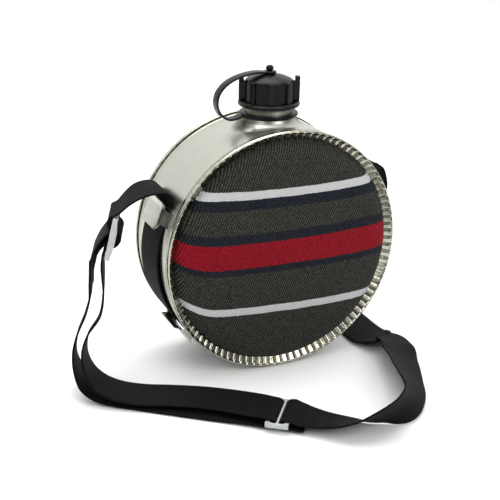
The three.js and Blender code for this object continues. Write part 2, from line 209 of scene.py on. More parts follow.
# Lowest and highest edge of each stripe, mm up the blanket face.
WHITE_STRIPES = ((139.0, 145.0), (49.4, 55.2))
RED_STRIPE = (87.2, 106.2)
NAVY_STRIPES = ((131.2, 139.2), (106.0, 113.4), (82.2, 87.4))


def blanket_cloth():
    """Coarse twill blanket: olive ground, two white stripes, a red one and three navy ones."""
    look = Look("blanket_cloth", Sheen_Weight=0.03, Sheen_Roughness=0.5, Specular_IOR_Level=0.08)
    at = look.place_mm()
    x, _, z = look.split(at)
    wander = look.math("SUBTRACT", look.noise(at, 0.06, 2), 0.5)
    grain = look.noise(at, 0.9, 2)
    # Twill lines, and the short yarns that make them up.
    across = look.math("MULTIPLY_ADD", z, -0.42, look.math("MULTIPLY", x, 0.91))
    along = look.math("MULTIPLY_ADD", z, 0.91, look.math("MULTIPLY", x, 0.42))
    line_at = look.math("MULTIPLY_ADD", wander, 0.5, look.math("DIVIDE", across, 1.75))
    line = look.wave(line_at)
    shift = look.math("MULTIPLY", look.math("FLOOR", line_at), 0.37)
    yarn = look.wave(look.math("ADD", look.math("DIVIDE", along, 1.35), shift))
    weave = look.math("MULTIPLY", line, look.math("MULTIPLY_ADD", yarn, 0.65, 0.35))
    fleck = look.math("MULTIPLY", weave, look.span(grain, 0.3, 0.72, 0.25, 1.25), clamp=True)
    # Stripe height: z less the bends that the stretched cloth shows.
    aside = look.math("ABSOLUTE", look.math("SUBTRACT", x, 12))
    dish = look.math("MULTIPLY", look.math("POWER", aside, 2), 0.00035)
    low = look.math("DIVIDE", look.math("SUBTRACT", 100, z), 45, clamp=True)
    slope = look.math("MULTIPLY", look.math("MULTIPLY", look.math("SUBTRACT", x, 10), -0.03), low)
    beyond = look.math("DIVIDE", look.math("SUBTRACT", -56, x), 26)
    edge = look.math("POWER", look.math("MAXIMUM", beyond, 0), 2)
    lift = look.math("MULTIPLY", look.math("MULTIPLY", look.math("SUBTRACT", 140, z), 0.115), edge)
    bend = look.math("ADD", look.math("ADD", dish, slope), lift)
    swing = look.math("MULTIPLY", wander, 1.2)
    ragged = look.math("MULTIPLY_ADD", look.math("SUBTRACT", grain, 0.5), 0.8, swing)
    height = look.math("ADD", look.math("SUBTRACT", z, bend), ragged)
    colour = look.mix(fleck, (0.0075, 0.0080, 0.0062), (0.104, 0.103, 0.089))
    navy_tone = look.mix(fleck, (0.0045, 0.0056, 0.0090), (0.034, 0.040, 0.052))
    red_tone = look.mix(fleck, (0.145, 0.0022, 0.0062), (0.420, 0.016, 0.032))
    white_tone = look.mix(weave, (0.43, 0.43, 0.435), (0.56, 0.56, 0.57))
    for low_z, high_z in NAVY_STRIPES:
        colour = look.mix(look.stripe(height, low_z, high_z, 0.5), colour, navy_tone)
    colour = look.mix(look.stripe(height, *RED_STRIPE, 0.3), colour, red_tone)
    white = look.math(
        "ADD",
        look.stripe(height, *WHITE_STRIPES[0], 0.25),
        look.stripe(height, *WHITE_STRIPES[1], 0.25),
        clamp=True,
    )
    colour = look.mix(white, colour, white_tone)
    pile = look.math("ADD", weave, look.math("MULTIPLY", grain, 0.5))
    flat = look.math("MULTIPLY_ADD", white, -0.6, 1.0)
    nap = look.bump(look.math("MULTIPLY", pile, flat), 0.0005, 0.8)
    return look.finish(colour, look.span(weave, 0, 1, 0.97, 0.82), nap)


def felt_wool():
    look = Look("felt_wool", Roughness=1.0, Sheen_Weight=0.4)
    fibres = look.noise(look.place_mm((1, 1, 3)), 0.8, 5, 0.7)
    colour = look.mix(fibres, (0.16, 0.145, 0.125), (0.33, 0.31, 0.275))
    return look.finish(colour, None, look.bump(fibres, 0.0008, 0.7))


def black_plastic():
    """Moulded polypropylene: fine grain, soft scuffs that catch the light."""
    look = Look("black_plastic", Specular_IOR_Level=0.16)
    grain = look.noise(look.place_mm(), 3.0, 2)
    scuff = look.noise(look.place_mm((1, 1, 0.4)), 0.22, 4, 0.65)
    colour = look.mix(look.span(scuff, 0.35, 0.75), (0.0022, 0.0025, 0.0025), (0.0062, 0.0067, 0.0067))
    rough = look.span(scuff, 0.3, 0.7, 0.24, 0.36)
    return look.finish(colour, rough, look.bump(grain, 0.00003, 0.6))


def gasket_rubber():
    look = Look("gasket_rubber", Specular_IOR_Level=0.35)
    bloom = look.noise(look.place_mm(), 0.6, 3)
    colour = look.mix(bloom, (0.40, 0.38, 0.33), (0.56, 0.54, 0.49))
    return look.finish(colour, look.span(bloom, 0.2, 0.8, 0.6, 0.85), look.bump(bloom, 0.00005, 0.5))


def webbing():
    """Black nylon webbing: ribs across it, warp columns along it, a tight selvedge."""
    look = Look("webbing", Specular_IOR_Level=0.08)
    along, across, _ = look.web_mm()
    at = look.place_mm()
    fuzz = look.noise(at, 1.3, 3)
    patch = look.noise(at, 0.05, 3)
    rib_at = look.math("DIVIDE", along, 1.9)
    column_at = look.math("DIVIDE", across, 1.5)
    half = look.math("MULTIPLY", look.math("FLOOR", column_at), 0.5)
    rib = look.wave(look.math("ADD", rib_at, half))
    column = look.math("ABSOLUTE", look.math("SINE", look.math("MULTIPLY", column_at, math.pi)))
    rows = look.wave(rib_at)
    weave = look.math("MULTIPLY", look.math("MULTIPLY_ADD", rib, 0.55, 0.2), column)
    height = look.math("MULTIPLY_ADD", rows, 0.45, weave)
    light = look.math("MULTIPLY", height, look.span(fuzz, 0.25, 0.75, 0.5, 1.3), clamp=True)
    colour = look.mix(light, (0.0008, 0.0009, 0.0009), (0.0092, 0.0100, 0.0097))
    colour = look.mix(look.span(patch, 0.4, 0.7, 0.0, 0.2), colour, (0.009, 0.010, 0.009))
    return look.finish(colour, look.span(light, 0, 1, 0.86, 0.6), look.bump(height, 0.00035, 0.9))


def slider_plastic():
    """Natural nylon, slightly see-through at its edges."""
    look = Look("slider_plastic", Subsurface_Weight=0.35, Subsurface_Scale=0.002, Specular_IOR_Level=0.5)
    cloud = look.noise(look.place_mm(), 0.25, 2)
    scratch = look.noise(look.place_mm((1, 1, 0.15)), 2.0, 3)
    colour = look.mix(cloud, (0.36, 0.385, 0.375), (0.52, 0.545, 0.535))
    return look.finish(colour, look.span(scratch, 0.3, 0.7, 0.28, 0.42), look.bump(scratch, 0.00004, 0.5))


def pale_floor():
    look = Look("pale_floor", Roughness=0.7, Specular_IOR_Level=0.1)
    mottle = look.noise(look.place_mm(), 0.004, 3)
    return look.finish(look.mix(mottle, (0.90, 0.90, 0.90), (0.93, 0.93, 0.93)))


LOOKS = {
    make.__name__: make()
    for make in (
        steel_satin, steel_bright, blanket_cloth, felt_wool,
        black_plastic, gasket_rubber, webbing, slider_plastic,
    )
}

# ---------------------------------------------------------------- mesh helpers


def make_piece(name, points, faces, look, body="drum", sharp=35, uv=None):
    """A shaded mesh from points in metres. uv gives each point's place on a strap."""
    mesh = bpy.data.meshes.new(name)
    mesh.from_pydata([tuple(p) for p in points], [], faces)
    if uv:
        layer = mesh.uv_layers.new(name="strap")
        for loop in mesh.loops:
            layer.data[loop.index].uv = uv[loop.vertex_index]
    shape = bmesh.new()
    shape.from_mesh(mesh)
    bmesh.ops.recalc_face_normals(shape, faces=shape.faces)
    shape.to_mesh(mesh)
    shape.free()
    smooth(mesh, sharp)
    mesh.materials.append(LOOKS[look])
    piece = bpy.data.objects.new(name, mesh)
    bpy.context.scene.collection.objects.link(piece)
    if body:
        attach(piece, body)
    return piece


def smooth(mesh, sharp):
    mesh.polygons.foreach_set("use_smooth", [True] * len(mesh.polygons))
    mesh.set_sharp_from_angle(angle=math.radians(sharp))


def on_drum(r, h, a):
    return Vector((r * math.cos(a), h, DRUM_Z + r * math.sin(a))) * MM


def on_neck(r, h, a):
    return Vector((r * math.cos(a), r * math.sin(a), h)) * MM


def rounded(corners, radius=0.3, steps=3, closed=True):
    """Rounds the corners of a 2-D outline. A corner's third number is its own radius."""
    out = []
    count = len(corners)
    for i, corner in enumerate(corners):
        p = Vector(corner[:2])
        if not closed and i in (0, count - 1):
            out.append(p)
            continue
        before = Vector(corners[i - 1][:2]) - p
        after = Vector(corners[(i + 1) % count][:2]) - p
        cut = corner[2] if len(corner) > 2 else radius
        start = p + before.normalized() * min(cut, 0.45 * before.length)
        end = p + after.normalized() * min(cut, 0.45 * after.length)
        for k in range(steps + 1):
            t = k / steps
            out.append(start * (1 - t) ** 2 + p * (2 * t * (1 - t)) + end * t * t)
    return out


def lathe(profile, place, segments=192, closed=True):
    """Turns an outline of (radius, height) round an axis. An open one starts and ends on it."""
    points, rows, faces = [], [], []
    for r, h in profile:
        count = 1 if abs(r) < 1e-6 else segments
        rows.append((len(points), count))
        points += [place(r, h, TAU * k / segments) for k in range(count)]
    pairs = list(zip(rows, rows[1:] + rows[:1]))
    for (a, na), (b, nb) in pairs if closed else pairs[:-1]:
        for k in range(segments):
            j = (k + 1) % segments
            near = [a + k, a + j] if na > 1 else [a]
            far = [b + j, b + k] if nb > 1 else [b]
            if len(near + far) > 2:
                faces.append(near + far)
    return points, faces


def sweep(stations, section):
    """Carries an outline of (across, out) along stations of (centre, across, out)."""
    points, faces, uv = [], [], []
    size, run, last = len(section), 0.0, stations[0][0]
    for centre, w, n in stations:
        run += (centre - last).length
        last = centre
        for a, b in section:
            points.append(centre + w * a + n * b)
            uv.append((run, a))
    for i in range(len(stations) - 1):
        for k in range(size):
            a, b = i * size + k, i * size + (k + 1) % size
            faces.append([a, b, b + size, a + size])
    end = (len(stations) - 1) * size
    faces.append(list(range(size))[::-1])
    faces.append([end + k for k in range(size)])
    return points, faces, uv


def curve_through(points, per):
    """Centripetal Catmull-Rom line through points, per steps a span, ends kept."""
    out = []
    n = len(points)
    for i in range(n - 1):
        p1, p2 = points[i], points[i + 1]
        p0 = points[i - 1] if i else p1 * 2 - p2
        p3 = points[i + 2] if i + 2 < n else p2 * 2 - p1
        d1, d2, d3 = (max((b - a).length, 1e-9) ** 0.5 for a, b in ((p0, p1), (p1, p2), (p2, p3)))
        t1 = (p1 - p0) / d1 - (p2 - p0) / (d1 + d2) + (p2 - p1) / d2
        t2 = (p2 - p1) / d2 - (p3 - p1) / (d2 + d3) + (p3 - p2) / d3
        t1, t2 = t1 * d2, t2 * d2
        for k in range(per):
            t = k / per
            a, b = 2 * t**3 - 3 * t**2 + 1, t**3 - 2 * t**2 + t
            c, d = -2 * t**3 + 3 * t**2, t**3 - t**2
            out.append(p1 * a + t1 * b + p2 * c + t2 * d)
    out.append(points[-1])
    return out


def strap_stations(marks, per=6):
    """Stations along a strap from marks of (x, y, z, across x, y, z)."""
    centres = curve_through([Vector(m[:3]) for m in marks], per)
    widths = curve_through([Vector(m[3:]).normalized() for m in marks], per)
    out = []
    for i, centre in enumerate(centres):
        ahead = centres[min(i + 1, len(centres) - 1)] - centres[max(i - 1, 0)]
        ahead.normalize()
        w = (widths[i] - ahead * widths[i].dot(ahead)).normalized()
        out.append((centre, w, w.cross(ahead)))
    return out


def web_section(width, thick=WEB_THICK, cells=12):
    """Outline across webbing: flat faces, rounded selvedges a little thicker than the middle."""
    half, deep = width / 2, thick / 2
    top = []
    for k in range(cells + 1):
        swell = 1.0 if 0 < k < cells else 1.12
        top.append((-half + deep + (width - thick) * k / cells, deep * swell))
    edge = [(half - deep + deep * math.sin(a), deep * math.cos(a)) for a in (TAU / 8, TAU / 4, 3 * TAU / 8)]
    under = [(-a, -b) for a, b in top]
    other = [(-a, -b) for a, b in edge]
    return top + edge + under + other


def axes(where):
    w = Vector(where["across"]).normalized()
    d = Vector(where["along"])
    d = (d - w * d.dot(w)).normalized()
    return w, d, w.cross(d)


def beside(which, pairs):
    """Marks beside a slider, from (along, out) in metres."""
    where = SLIDER_FRAMES[which]
    w, d, n = axes(where)
    at = Vector(where["at"])
    return [(*(at + d * along + n * out), *w) for along, out in pairs]


# ---------------------------------------------------------------- cords

make_camera()

# The shoulder strap's routes, as the CAD has them, in metres: centre, then the direction across.
STRAP_UPPER = [
    (-0.0833, -0.0026, 0.1319, 0, -1, 0), (-0.0821, -0.0027, 0.136, 0, -1, 0),
    (-0.0823, -0.0029, 0.1402, 0, -1, 0), (-0.086, -0.003, 0.1432, -0.02, -1, 0),
    (-0.0934, -0.0028, 0.1438, -0.04, -1, 0), (-0.1014, -0.0024, 0.142, -0.1, -0.99, 0.02),
    (-0.1088, -0.0016, 0.1374, -0.2, -0.98, 0.04), (-0.1154, -0.0008, 0.1316, -0.3, -0.95, 0.02),
    *beside("long", [
        (-0.0137, -0.0046), (-0.009, -0.0044), (-0.0068, -0.0028), (-0.0057, 0.0002), (-0.0045, 0.0036),
        (-0.0025, 0.0054), (0, 0.006), (0.0044, 0.0044), (0.0074, 0.0008), (0.0108, -0.0028),
        (0.0137, -0.0034),
    ]),
    (-0.128, 0.0006, 0.0925, -0.34, -0.93, 0.08), (-0.1286, -0.001, 0.081, -0.31, -0.93, 0.17),
    (-0.13, -0.0046, 0.069, -0.26, -0.91, 0.32), (-0.135, -0.011, 0.055, -0.25, -0.9, 0.36),
    (-0.1454, -0.0146, 0.043, -0.26, -0.88, 0.38), (-0.1492, -0.018, 0.032, -0.34, -0.86, 0.36),
    (-0.1476, -0.0234, 0.0205, -0.42, -0.87, 0.25), (-0.142, -0.029, 0.0118, -0.46, -0.88, 0.13),
    (-0.133, -0.0354, 0.0068, -0.46, -0.88, 0.08), (-0.118, -0.045, 0.0048, -0.46, -0.88, 0.06),
    (-0.098, -0.055, 0.0048, -0.5, -0.86, 0.06), (-0.079, -0.0665, 0.0054, -0.54, -0.83, 0.06),
    (-0.062, -0.0805, 0.0062, -0.58, -0.81, 0.05),
    *beside("short", [
        (-0.013, 0.0038), (-0.0076, 0.0033), (-0.0046, 0.0029), (-0.0026, 0.0019), (-0.0018, 0.0003),
    ]),
]
STRAP_RETURN = [
    *beside("short", [(-0.0018, -0.0005), (-0.0024, -0.0019), (-0.0048, -0.0028), (-0.009, -0.0031)]),
    (-0.054, -0.0928, 0.0021, -0.58, -0.81, 0.02), (-0.07, -0.0804, 0.0014, -0.58, -0.81, 0),
    (-0.089, -0.066, 0.0014, -0.57, -0.82, 0), (-0.109, -0.0505, 0.0014, -0.56, -0.83, 0),
    (-0.1286, -0.036, 0.0018, -0.54, -0.84, 0), (-0.142, -0.0266, 0.0038, -0.5, -0.86, 0.05),
    (-0.1504, -0.02, 0.0096, -0.44, -0.88, 0.14), (-0.154, -0.0156, 0.019, -0.38, -0.89, 0.23),
    (-0.1548, -0.0114, 0.03, -0.3, -0.9, 0.31), (-0.151, -0.0076, 0.042, -0.26, -0.9, 0.34),
    (-0.144, -0.005, 0.055, -0.25, -0.9, 0.33), (-0.1394, -0.0034, 0.068, -0.28, -0.91, 0.28),
    (-0.138, -0.002, 0.079, -0.33, -0.92, 0.15),
    *beside("long", [
        (0.0275, -0.0099), (0.02, -0.0108), (0.0136, -0.01), (0.007, -0.0082), (0.002, -0.0062),
        (-0.0014, -0.0043), (-0.0028, -0.0023), (-0.0031, 0), (-0.00295, 0.0021), (-0.0016, 0.0033),
        (0, 0.0037), (0.0016, 0.0033), (0.003, 0.0019), (0.0037, -0.0006), (0.0052, -0.0034),
        (0.0086, -0.0059), (0.0136, -0.0077), (0.019, -0.0086), (0.0245, -0.0079),
    ]),
]
STRAP_RIGHT = [
    *beside("short", [
        (0.0018, 0.0003), (0.0026, 0.0019), (0.0046, 0.0028), (0.0076, 0.0029), (0.012, 0.0012),
    ]),
    (-0.0187, -0.1205, 0.005, -0.57, -0.82, 0.12), (-0.0105, -0.1284, 0.0049, -0.54, -0.8, 0.22),
    (-0.0024, -0.1374, 0.0069, -0.5, -0.78, 0.34), (0.006, -0.144, 0.0096, -0.46, -0.72, 0.5),
    (0.017, -0.148, 0.013, -0.43, -0.6, 0.67), (0.03, -0.149, 0.016, -0.5, -0.42, 0.75),
    (0.0424, -0.1436, 0.0172, -0.61, -0.28, 0.74), (0.057, -0.126, 0.016, -0.74, -0.24, 0.63),
    (0.0714, -0.0986, 0.0126, -0.78, -0.36, 0.5), (0.0828, -0.073, 0.0102, -0.79, -0.48, 0.34),
    (0.0916, -0.053, 0.0088, -0.75, -0.6, 0.24), (0.092, -0.043, 0.0082, -0.69, -0.67, 0.26),
    (0.0874, -0.036, 0.0068, -0.75, -0.64, 0.15), (0.0844, -0.026, 0.0038, -0.88, -0.45, 0.02),
    (0.0846, -0.01, 0.0022, -0.95, -0.3, 0), (0.0855, 0.008, 0.0018, -0.99, -0.1, 0),
    (0.086, 0.03, 0.0018, -1, 0, 0), (0.086, 0.05, 0.0034, -1, -0.05, 0),
    (0.087, 0.064, 0.011, -0.98, -0.2, 0), (0.0895, 0.069, 0.025, -0.9, -0.42, 0),
    (0.093, 0.066, 0.042, -0.75, -0.66, 0), (0.097, 0.058, 0.06, -0.55, -0.83, 0),
    (0.101, 0.044, 0.079, -0.35, -0.94, 0), (0.1025, 0.027, 0.098, -0.16, -0.99, 0),
    (0.1015, 0.013, 0.116, -0.05, -1, 0), (0.098, 0.005, 0.131, 0, -1, 0),
    (0.0915, 0.002, 0.142, 0, -1, 0), (0.0846, 0.001, 0.1445, 0, -1, 0), (0.0816, 0, 0.1384, 0, -1, 0),
    (0.0833, 0, 0.1319, 0, -1, 0),
]
STRAP_TAIL = [
    *beside("short", [
        (0.0018, -0.0005), (0.0024, -0.0019), (0.0048, -0.0029), (0.009, -0.0033), (0.014, -0.0036),
        (0.018, -0.0039),
    ]),
]


def make_strap(name, marks, body):
    stations = strap_stations(marks)
    points, faces, uv = sweep(stations, web_section(WEB))
    piece = make_piece(name, points, faces, "webbing", body, uv=uv)
    path = [tuple(s[0]) for s in stations]
    return piece, path


def declare_strap(piece, nodes):
    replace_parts(piece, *nodes)


def make_straps():
    """Two strands run between the sliders on the left, and one goes round the right side."""
    split = 12  # the mark where the strap has come up through the long slider's first slot
    top, _ = make_strap("strap_upper_arch", STRAP_UPPER[: split + 1], None)
    low, low_path = make_strap("strap_upper_run", STRAP_UPPER[split:], None)
    back, back_path = make_strap("strap_return_run", STRAP_RETURN, None)
    right, right_path = make_strap("strap_right_run", STRAP_RIGHT, "drum")
    tail, _ = make_strap("strap_right_sewn_end", STRAP_TAIL, "drum")
    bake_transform(top)
    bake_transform(low)
    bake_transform(back)
    sliders = [make_slider("long", "slider"), make_slider("short", "drum")]
    declare_strap(low, ["strap_upper"])
    declare_strap(back, ["strap_return"])
    declare_strap(right, ["strap_right"])
    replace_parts(tail, "strap_right_tail")


SLIDER_SHAPES = {
    "long": {"length": 31, "bar": 3.8, "centre": 4, "thick": 3.6, "outer": 1.9, "ends": 1.3, "deep": 2.8},
    "short": {"length": 16, "bar": 3, "centre": 1.6, "thick": 3.2, "outer": 1.8, "ends": 2.3, "deep": 1.4},
}


def box_faces(low, high):
    points = [(x, y, z) for x in (low[0], high[0]) for y in (low[1], high[1]) for z in (low[2], high[2])]
    return points, [(0, 1, 3, 2), (4, 6, 7, 5), (0, 4, 5, 1), (2, 3, 7, 6), (0, 2, 6, 4), (1, 5, 7, 3)]


def make_slider(which, body):
    """A moulded frame: three bars across between two side rails, fused and smoothed."""
    form = SLIDER_SHAPES[which]
    end, deep, half, rail = form["length"] / 2, form["thick"] / 2, WEB / MM / 2 + 0.6, 2.3
    bars = (
        (-end + 0.3, -end + form["bar"]),
        (-form["centre"] / 2, form["centre"] / 2),
        (end - form["bar"], end - 0.3),
    )
    shells = [box_faces((-half - 1, y0, -deep + 0.1), (half + 1, y1, deep - 0.1)) for y0, y1 in bars]
    side = [
        (-end, -form["outer"]), (end, -form["outer"]), (end, form["ends"]),
        (end * 0.35, form["deep"]), (-end * 0.35, form["deep"]), (-end, form["ends"]),
    ]
    for x0, x1 in ((-half - rail, -half), (half, half + rail)):
        points = [(x, y, z) for x in (x0, x1) for y, z in side]
        n = len(side)
        faces = [list(range(n)), list(range(n, 2 * n))]
        faces += [(k, (k + 1) % n, (k + 1) % n + n, k + n) for k in range(n)]
        shells.append((points, faces))
    w, d, n = axes(SLIDER_FRAMES[which])
    turn = Matrix((w, d, n)).transposed()
    points, faces = [], []
    for shell_points, shell_faces in shells:
        faces += [[i + len(points) for i in face] for face in shell_faces]
        points += [turn @ (Vector(p) * MM) + Vector(SLIDER_FRAMES[which]["at"]) for p in shell_points]
    piece = fused(f"slider_{which}_moulding", points, faces, "slider_plastic", 0.00035, body)
    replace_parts(piece, f"slider_{which}")
    return piece


def fused(name, points, faces, look, voxel, body):
    """Closed shells melted into one smooth moulding."""
    rough = make_piece(name + "_rough", points, faces, look, None)
    remesh = rough.modifiers.new("fuse", "REMESH")
    remesh.mode, remesh.voxel_size = "VOXEL", voxel
    soften = rough.modifiers.new("soften", "SMOOTH")
    soften.factor, soften.iterations = 0.5, 4
    view = bpy.context.evaluated_depsgraph_get()
    mesh = bpy.data.meshes.new_from_object(rough.evaluated_get(view))
    bpy.data.objects.remove(rough)
    mesh.name = name
    smooth(mesh, 60)
    piece = bpy.data.objects.new(name, mesh)
    bpy.context.scene.collection.objects.link(piece)
    if not mesh.materials:
        mesh.materials.append(LOOKS[look])
    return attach(piece, body)


make_straps()

# ---------------------------------------------------------------- drum


def make_drum():
    near = [
        (91.2, -10), (91.2, -20), (91.2, -26.6), (91.15, -27.4),
        (90.95, -28.0), (90.6, -28.6), (90.55, -29.4),
    ]
    far = [(90.9, 29.4), (91.0, 28.6), (91.15, 28.2), (91.2, 27.8), (91.2, 20), (91.2, 10), (91.2, 0)]
    band = far + near + [(89.8, -29.4), (89.8, 29.4)]
    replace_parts(make_piece("band_shell", *lathe(band, on_drum), "steel_satin", sharp=50), "body_band")
    for side, label, lip in ((-1, "front", 0), (1, "back", 0.5)):
        rolled = [
            (88.8, 28.6), (88.8, 31.0), (89.4, 31.6), (91.4 - lip, 31.7, 0.6), (91.9 - lip, 31.2, 0.4),
            (91.9 - lip, 28.5, 0.5), (91.5 - lip, 28.0, 0.3), (90.75, 28.0, 0.2), (90.75, 29.6, 0.2),
            (89.6, 29.6), (89.6, 27.4), (52, 30.9, 8), (0, 32.1),
        ]
        rim = rounded(rolled, 0.3, 3, closed=False)
        profile = [(0, 32.9), (52, 31.5), (86.5, 27.8)] + [tuple(p) for p in rim]
        shape = lathe([(r, h * side) for r, h in profile], on_drum, closed=False)
        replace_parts(make_piece(f"{label}_head_rolled", *shape, "steel_satin"), f"{label}_head")


def cloth_profile():
    """Crown of the blanket face: nearly flat, then a full soft edge down to the crimp."""
    marks = [
        (0, 43.7), (26, 43.5), (50, 42.9), (64, 41.9), (73, 40.7),
        (79, 39.0), (82.4, 36.8), (84.1, 34.6), (85, 33.0), (88.2, 32.3),
    ]
    return [tuple(p[:2]) for p in curve_through([Vector((r, h, 0)) for r, h in marks], 7)]


def make_faces():
    """Padded faces: a felt pad under a stretched blanket, held by a crimped ring."""
    for side, label in ((-1, "front"), (1, "back")):
        pad = [
            (0, 33.3), (52, 31.9), (81, 28.9), (82.8, 31.5), (82, 34.6),
            (78.6, 37.4), (72, 39.1), (52, 41.5), (0, 42.2),
        ]
        outline = [(r, h * side) for r, h in rounded(pad, 3, 4, closed=False)]
        piece = make_piece(f"{label}_wool_pad", *lathe(outline, on_drum, 96, False), "felt_wool")
        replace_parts(piece, f"{label}_felt_pad")
        top = cloth_profile()
        under = [(max(r - 0.9 * min(1, r / 70), 0), h - 1.1) for r, h in reversed(top)]
        under[0] = (top[-1][0], top[-1][1] - 0.6)

        def on_cloth(r, h, a, side=side):
            flat = on_drum(r, 0, a) / MM
            swell = noise.noise(Vector((flat.x / 31, side * 7.3, flat.z / 31))) * 0.45
            gather = 0.16 * math.cos(FLUTES / 2 * a) * max(0, min(1, (r - 76) / 7))
            fade = max(0, min(1, (87 - r) / 6))
            return on_drum(r + gather, side * (h + swell * fade), a)

        points, faces = lathe(top + under, on_cloth, 240, closed=False)
        piece = make_piece(f"{label}_blanket_face", points, faces, "blanket_cloth", sharp=60)
        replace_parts(piece, f"{label}_blanket_cover")
        crimp = make_crimp(label, side)
        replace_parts(crimp, f"{label}_clamp_ring")


def make_crimp(label, side):
    """Clamp ring of thin bright strip, pleated into radial flutes."""
    # Radius, height on a crest, and share of the full flute depth.
    rows = [
        (92.15, 31.75, 0), (92.05, 34.6, 0), (91.75, 35.7, 0), (91.4, 36.3, 0.02), (91.0, 36.45, 0.1),
        (90.65, 36.4, 0.5), (90.3, 36.25, 0.9), (89.8, 35.95, 1), (89.2, 35.6, 1), (88.4, 35.15, 1.05),
        (87.5, 34.6, 1.05), (86.5, 34.05, 1.05), (85.7, 33.6, 1.05), (85.1, 33.2, 1.05), (84.6, 32.9, 1),
        (84.2, 32.7, 1),
    ]
    steps = FLUTES * 12
    points, faces = [], []
    for k in range(steps):
        a = TAU * k / steps
        pocket = 1 - max(0.0, math.cos(FLUTES * a)) ** 3
        for r, h, share in rows:
            points.append(on_drum(r, side * (h - 0.95 * share * pocket), a))
    size = len(rows)
    for k in range(steps):
        for i in range(size - 1):
            a, b = k * size + i, (k + 1) % steps * size + i
            faces.append([a, a + 1, b + 1, b])
    piece = make_piece(f"{label}_crimped_ring", points, faces, "steel_bright", sharp=60)
    thicken(piece, 0.0004)
    return piece


def thicken(piece, depth, offset=0.0):
    solid = piece.modifiers.new("sheet", "SOLIDIFY")
    solid.thickness, solid.offset = depth, offset
    solid.use_even_offset = False


def bevel(piece, width, segments=3):
    edge = piece.modifiers.new("edge", "BEVEL")
    edge.width, edge.segments = width, segments
    edge.limit_method, edge.angle_limit = "ANGLE", math.radians(40)


# ---------------------------------------------------------------- neck and cap


def on_saddle(r, h, a):
    """Heights under 50 are measured out from the band, in a foot that narrows across it."""
    if h > 50:
        return on_neck(r, h, a)
    reach = 20 + (r - 20) * (1 - 0.52 * math.sin(a) ** 2)
    over = DRUM_Z + math.sqrt((90.6 + h) ** 2 - (reach * math.cos(a)) ** 2)
    return on_neck(reach, over, a)


def thread(name, r0, r1, start, turns, phase, look, body):
    """A helical ridge about the neck axis."""
    out = 1 if r1 > r0 else -1
    steps = round(turns * 60)
    stations = []
    for i in range(steps + 1):
        a = math.radians(phase) + TAU * i / 60
        fade = min(1, (i + 0.4) / 6, (steps - i + 0.4) / 6)
        n = Vector((math.cos(a), math.sin(a), 0)) * out
        centre = on_neck(r0, start + 4 * i / 60, a)
        stations.append((centre, Vector((0, 0, 1)), n * fade))
    deep = abs(r1 - r0) * MM
    section = [(-0.0011, -0.0003), (-0.0004, deep * 0.9), (0, deep), (0.0004, deep * 0.9), (0.0011, -0.0003)]
    points, faces, _ = sweep(stations, section)
    return make_piece(name, points, faces, look, body)


def make_neck():
    profile = [
        (13.2, -4), (13.2, 208.6), (13.7, 209), (14.2, 209), (14.6, 208.5), (14.6, 195.2), (16.3, 194.8),
        (16.7, 194.2), (16.7, 188.2), (19.4, 188.1), (20, 187.5), (20, 186.4), (20.4, 185.6), (21.5, 184.9),
        (23.4, 1.7), (26, 1.05), (28, 0.5), (29.1, 0.15), (29.2, -0.3),
    ]
    piece = make_piece("neck_and_collar", *lathe(profile, on_saddle, 128), "steel_satin", sharp=50)
    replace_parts(piece, "spout")
    thread("neck_thread", 14.6, 15.7, 197.2, 2.1, 20, "steel_satin", "drum")


def make_cap():
    outline = [
        (0, 211.1), (15.6, 211.1), (16.1, 210.6), (16.1, 195.4), (21.8, 195.4, 0.6), (22.7, 196.2, 0.6),
        (22.7, 197.6, 0.5), (20.9, 198.9, 1), (17.7, 199.4, 0.6), (17.7, 213.2, 1.2), (16.3, 214.6, 1.5),
        (11, 216.9, 3), (5, 218.0, 3), (2.6, 218.3, 0.8), (1.8, 219, 0.5), (1.8, 220.6, 0.6),
        (2.9, 221.2, 0.9), (2.9, 222.8, 1.1), (1.6, 224.2, 0.9), (0, 224.2),
    ]
    profile = [tuple(p) for p in rounded(outline, 0.3, 4, closed=False)]
    piece = make_piece("cap_shell", *lathe(profile, on_neck, 128, False), "black_plastic", "cap", sharp=40)
    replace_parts(piece, "screw_cap")
    thread("cap_thread", 16.2, 15.1, 198.8, 1.6, -16, "black_plastic", "cap")
    for k in range(8):
        lug = k % 4 == 2
        reach, half, top = (22.1, 2.6, 216.6) if lug else (19.4, 2.3, 213.9)
        angle = math.radians(249.2 + 45 * k)
        parts = [((16.4, -half, 198.4), (reach, half, 213.2 if lug else top))]
        if lug:
            parts.append(((18.6, -half, 212.8), (reach, half, top)))
        for i, (low, high) in enumerate(parts):
            points, faces = box_faces(low, high)
            turn = Matrix.Rotation(angle, 3, "Z")
            name = f"cap_{'lug' if lug else 'rib'}_{k}" + ("_top" if i else "")
            bar = make_piece(name, [turn @ (Vector(p) * MM) for p in points], faces, "black_plastic", "cap")
            bevel(bar, 0.0007, 4)
    seal = rounded([(12.9, 209.3), (15.7, 209.3), (15.7, 210.8), (12.9, 210.8)], 0.3)
    piece = make_piece("seal_ring", *lathe(seal, on_neck, 96), "gasket_rubber", "gasket")
    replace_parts(piece, "cap_gasket")


TETHER = [
    (-0.0208, 0, 0.1896), (-0.0230, 0, 0.1889), (-0.0270, 0, 0.1876), (-0.0330, 0, 0.1876),
    (-0.0386, 0, 0.1914), (-0.0416, 0, 0.1980), (-0.0406, 0, 0.2054), (-0.0354, 0, 0.2120),
    (-0.0270, 0, 0.2166), (-0.0165, 0, 0.2192), (-0.0100, 0, 0.2197), (-0.0046, 0, 0.2194),
]


